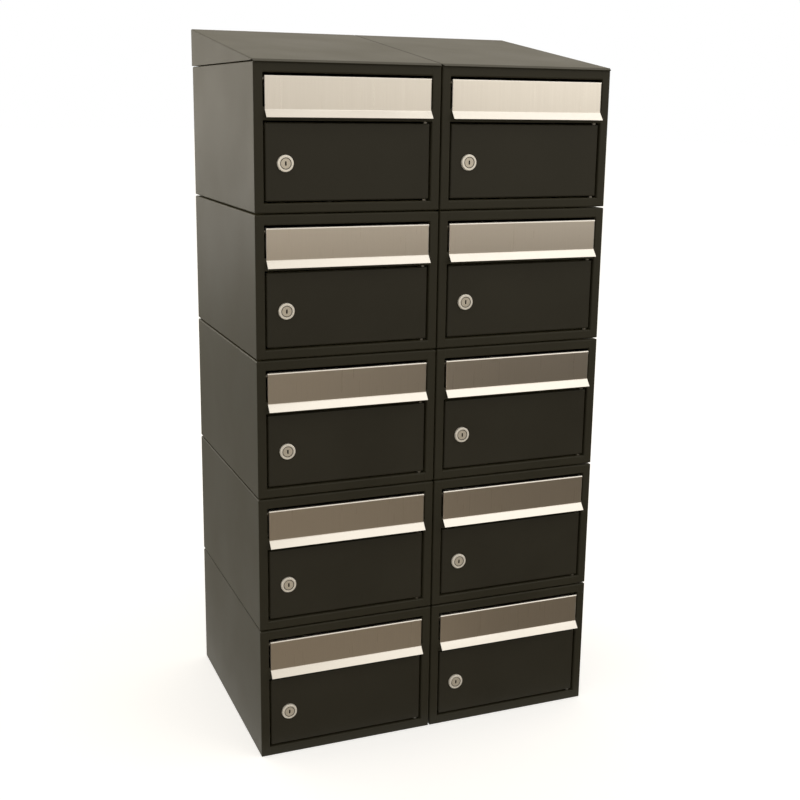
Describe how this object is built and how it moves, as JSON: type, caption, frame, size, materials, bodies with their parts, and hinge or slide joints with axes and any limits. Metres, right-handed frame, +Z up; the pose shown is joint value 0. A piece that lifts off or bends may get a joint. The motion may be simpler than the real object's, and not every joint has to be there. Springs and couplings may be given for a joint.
{
  "type": "cluster mailbox unit",
  "caption": "Stacked sheet-steel letter boxes in two columns under sloping roof caps, each with a lifting stainless letter flap, an inset hinged door and a cam lock.",
  "frame": {"origin": "on the ground, under the middle of the unit's outline", "axes": "the front faces -Y, +X is to the right of someone facing it, +Z is up"},
  "size_m": [0.54, 0.3694, 1.0557],
  "materials": {
    "paint": "satin fine-texture powder coat, warm black",
    "stainless": "brushed, grain up and down",
    "lock_metal": "satin plated",
    "zinc": "zinc plated"
  },
  "bodies": {
    "stack": {"casing_left_1": "paint", "casing_left_2": "paint", "casing_left_3": "paint", "casing_left_4": "paint", "casing_left_5": "paint", "casing_right_1": "paint", "casing_right_2": "paint", "casing_right_3": "paint", "casing_right_4": "paint", "casing_right_5": "paint", "roof_cap_left": "paint", "roof_cap_right": "paint", "back_panels": "paint", "flap_pivot_pins": "zinc", "door_hinge_pins": "zinc", "joining_bolts": "zinc", "joining_nuts": "zinc"},
    "letter_flap_left_1": {"flap_left_1": "stainless"},
    "box_door_left_1": {"door_left_1": "paint", "lock_body_left_1": "lock_metal"},
    "key_plug_left_1": {"lock_core_left_1": "lock_metal"},
    "letter_flap_left_2": {"flap_left_2": "stainless"},
    "box_door_left_2": {"door_left_2": "paint", "lock_body_left_2": "lock_metal"},
    "key_plug_left_2": {"lock_core_left_2": "lock_metal"},
    "letter_flap_left_3": {"flap_left_3": "stainless"},
    "box_door_left_3": {"door_left_3": "paint", "lock_body_left_3": "lock_metal"},
    "key_plug_left_3": {"lock_core_left_3": "lock_metal"},
    "letter_flap_left_4": {"flap_left_4": "stainless"},
    "box_door_left_4": {"door_left_4": "paint", "lock_body_left_4": "lock_metal"},
    "key_plug_left_4": {"lock_core_left_4": "lock_metal"},
    "letter_flap_left_5": {"flap_left_5": "stainless"},
    "box_door_left_5": {"door_left_5": "paint", "lock_body_left_5": "lock_metal"},
    "key_plug_left_5": {"lock_core_left_5": "lock_metal"},
    "letter_flap_right_1": {"flap_right_1": "stainless"},
    "box_door_right_1": {"door_right_1": "paint", "lock_body_right_1": "lock_metal"},
    "key_plug_right_1": {"lock_core_right_1": "lock_metal"},
    "letter_flap_right_2": {"flap_right_2": "stainless"},
    "box_door_right_2": {"door_right_2": "paint", "lock_body_right_2": "lock_metal"},
    "key_plug_right_2": {"lock_core_right_2": "lock_metal"},
    "letter_flap_right_3": {"flap_right_3": "stainless"},
    "box_door_right_3": {"door_right_3": "paint", "lock_body_right_3": "lock_metal"},
    "key_plug_right_3": {"lock_core_right_3": "lock_metal"},
    "letter_flap_right_4": {"flap_right_4": "stainless"},
    "box_door_right_4": {"door_right_4": "paint", "lock_body_right_4": "lock_metal"},
    "key_plug_right_4": {"lock_core_right_4": "lock_metal"},
    "letter_flap_right_5": {"flap_right_5": "stainless"},
    "box_door_right_5": {"door_right_5": "paint", "lock_body_right_5": "lock_metal"},
    "key_plug_right_5": {"lock_core_right_5": "lock_metal"}
  },
  "joints": [
    {"name": "flap_lift_left_1", "type": "hinge", "parent": "stack", "child": "letter_flap_left_1", "pos_m": [-0.135, -0.17065, 0.9765], "axis": [-1, 0, 0], "range_deg": [0, 90]},
    {"name": "flap_lift_left_2", "type": "hinge", "parent": "stack", "child": "letter_flap_left_2", "pos_m": [-0.135, -0.17065, 0.7765], "axis": [-1, 0, 0], "range_deg": [0, 90]},
    {"name": "flap_lift_left_3", "type": "hinge", "parent": "stack", "child": "letter_flap_left_3", "pos_m": [-0.135, -0.17065, 0.5765], "axis": [-1, 0, 0], "range_deg": [0, 90]},
    {"name": "flap_lift_left_4", "type": "hinge", "parent": "stack", "child": "letter_flap_left_4", "pos_m": [-0.135, -0.17065, 0.3765], "axis": [-1, 0, 0], "range_deg": [0, 90]},
    {"name": "flap_lift_left_5", "type": "hinge", "parent": "stack", "child": "letter_flap_left_5", "pos_m": [-0.135, -0.17065, 0.1765], "axis": [-1, 0, 0], "range_deg": [0, 90]},
    {"name": "flap_lift_right_1", "type": "hinge", "parent": "stack", "child": "letter_flap_right_1", "pos_m": [0.135, -0.17065, 0.9765], "axis": [-1, 0, 0], "range_deg": [0, 90]},
    {"name": "flap_lift_right_2", "type": "hinge", "parent": "stack", "child": "letter_flap_right_2", "pos_m": [0.135, -0.17065, 0.7765], "axis": [-1, 0, 0], "range_deg": [0, 90]},
    {"name": "flap_lift_right_3", "type": "hinge", "parent": "stack", "child": "letter_flap_right_3", "pos_m": [0.135, -0.17065, 0.5765], "axis": [-1, 0, 0], "range_deg": [0, 90]},
    {"name": "flap_lift_right_4", "type": "hinge", "parent": "stack", "child": "letter_flap_right_4", "pos_m": [0.135, -0.17065, 0.3765], "axis": [-1, 0, 0], "range_deg": [0, 90]},
    {"name": "flap_lift_right_5", "type": "hinge", "parent": "stack", "child": "letter_flap_right_5", "pos_m": [0.135, -0.17065, 0.1765], "axis": [-1, 0, 0], "range_deg": [0, 90]},
    {"name": "door_swing_left_1", "type": "hinge", "parent": "stack", "child": "box_door_left_1", "pos_m": [-0.0221, -0.16935, 0.8685], "axis": [0, 0, 1], "range_deg": [0, 110]},
    {"name": "door_swing_left_2", "type": "hinge", "parent": "stack", "child": "box_door_left_2", "pos_m": [-0.0221, -0.16935, 0.6685], "axis": [0, 0, 1], "range_deg": [0, 110]},
    {"name": "door_swing_left_3", "type": "hinge", "parent": "stack", "child": "box_door_left_3", "pos_m": [-0.0221, -0.16935, 0.4685], "axis": [0, 0, 1], "range_deg": [0, 110]},
    {"name": "door_swing_left_4", "type": "hinge", "parent": "stack", "child": "box_door_left_4", "pos_m": [-0.0221, -0.16935, 0.2685], "axis": [0, 0, 1], "range_deg": [0, 110]},
    {"name": "door_swing_left_5", "type": "hinge", "parent": "stack", "child": "box_door_left_5", "pos_m": [-0.0221, -0.16935, 0.0685], "axis": [0, 0, 1], "range_deg": [0, 110]},
    {"name": "door_swing_right_1", "type": "hinge", "parent": "stack", "child": "box_door_right_1", "pos_m": [0.2479, -0.16935, 0.8685], "axis": [0, 0, 1], "range_deg": [0, 110]},
    {"name": "door_swing_right_2", "type": "hinge", "parent": "stack", "child": "box_door_right_2", "pos_m": [0.2479, -0.16935, 0.6685], "axis": [0, 0, 1], "range_deg": [0, 110]},
    {"name": "door_swing_right_3", "type": "hinge", "parent": "stack", "child": "box_door_right_3", "pos_m": [0.2479, -0.16935, 0.4685], "axis": [0, 0, 1], "range_deg": [0, 110]},
    {"name": "door_swing_right_4", "type": "hinge", "parent": "stack", "child": "box_door_right_4", "pos_m": [0.2479, -0.16935, 0.2685], "axis": [0, 0, 1], "range_deg": [0, 110]},
    {"name": "door_swing_right_5", "type": "hinge", "parent": "stack", "child": "box_door_right_5", "pos_m": [0.2479, -0.16935, 0.0685], "axis": [0, 0, 1], "range_deg": [0, 110]},
    {"name": "lock_turn_left_1", "type": "hinge", "parent": "box_door_left_1", "child": "key_plug_left_1", "pos_m": [-0.226, -0.17385, 0.867], "axis": [0, 1, 0], "range_deg": [0, 90]},
    {"name": "lock_turn_left_2", "type": "hinge", "parent": "box_door_left_2", "child": "key_plug_left_2", "pos_m": [-0.226, -0.17385, 0.667], "axis": [0, 1, 0], "range_deg": [0, 90]},
    {"name": "lock_turn_left_3", "type": "hinge", "parent": "box_door_left_3", "child": "key_plug_left_3", "pos_m": [-0.226, -0.17385, 0.467], "axis": [0, 1, 0], "range_deg": [0, 90]},
    {"name": "lock_turn_left_4", "type": "hinge", "parent": "box_door_left_4", "child": "key_plug_left_4", "pos_m": [-0.226, -0.17385, 0.267], "axis": [0, 1, 0], "range_deg": [0, 90]},
    {"name": "lock_turn_left_5", "type": "hinge", "parent": "box_door_left_5", "child": "key_plug_left_5", "pos_m": [-0.226, -0.17385, 0.067], "axis": [0, 1, 0], "range_deg": [0, 90]},
    {"name": "lock_turn_right_1", "type": "hinge", "parent": "box_door_right_1", "child": "key_plug_right_1", "pos_m": [0.044, -0.17385, 0.867], "axis": [0, 1, 0], "range_deg": [0, 90]},
    {"name": "lock_turn_right_2", "type": "hinge", "parent": "box_door_right_2", "child": "key_plug_right_2", "pos_m": [0.044, -0.17385, 0.667], "axis": [0, 1, 0], "range_deg": [0, 90]},
    {"name": "lock_turn_right_3", "type": "hinge", "parent": "box_door_right_3", "child": "key_plug_right_3", "pos_m": [0.044, -0.17385, 0.467], "axis": [0, 1, 0], "range_deg": [0, 90]},
    {"name": "lock_turn_right_4", "type": "hinge", "parent": "box_door_right_4", "child": "key_plug_right_4", "pos_m": [0.044, -0.17385, 0.267], "axis": [0, 1, 0], "range_deg": [0, 90]},
    {"name": "lock_turn_right_5", "type": "hinge", "parent": "box_door_right_5", "child": "key_plug_right_5", "pos_m": [0.044, -0.17385, 0.067], "axis": [0, 1, 0], "range_deg": [0, 90]}
  ]
}
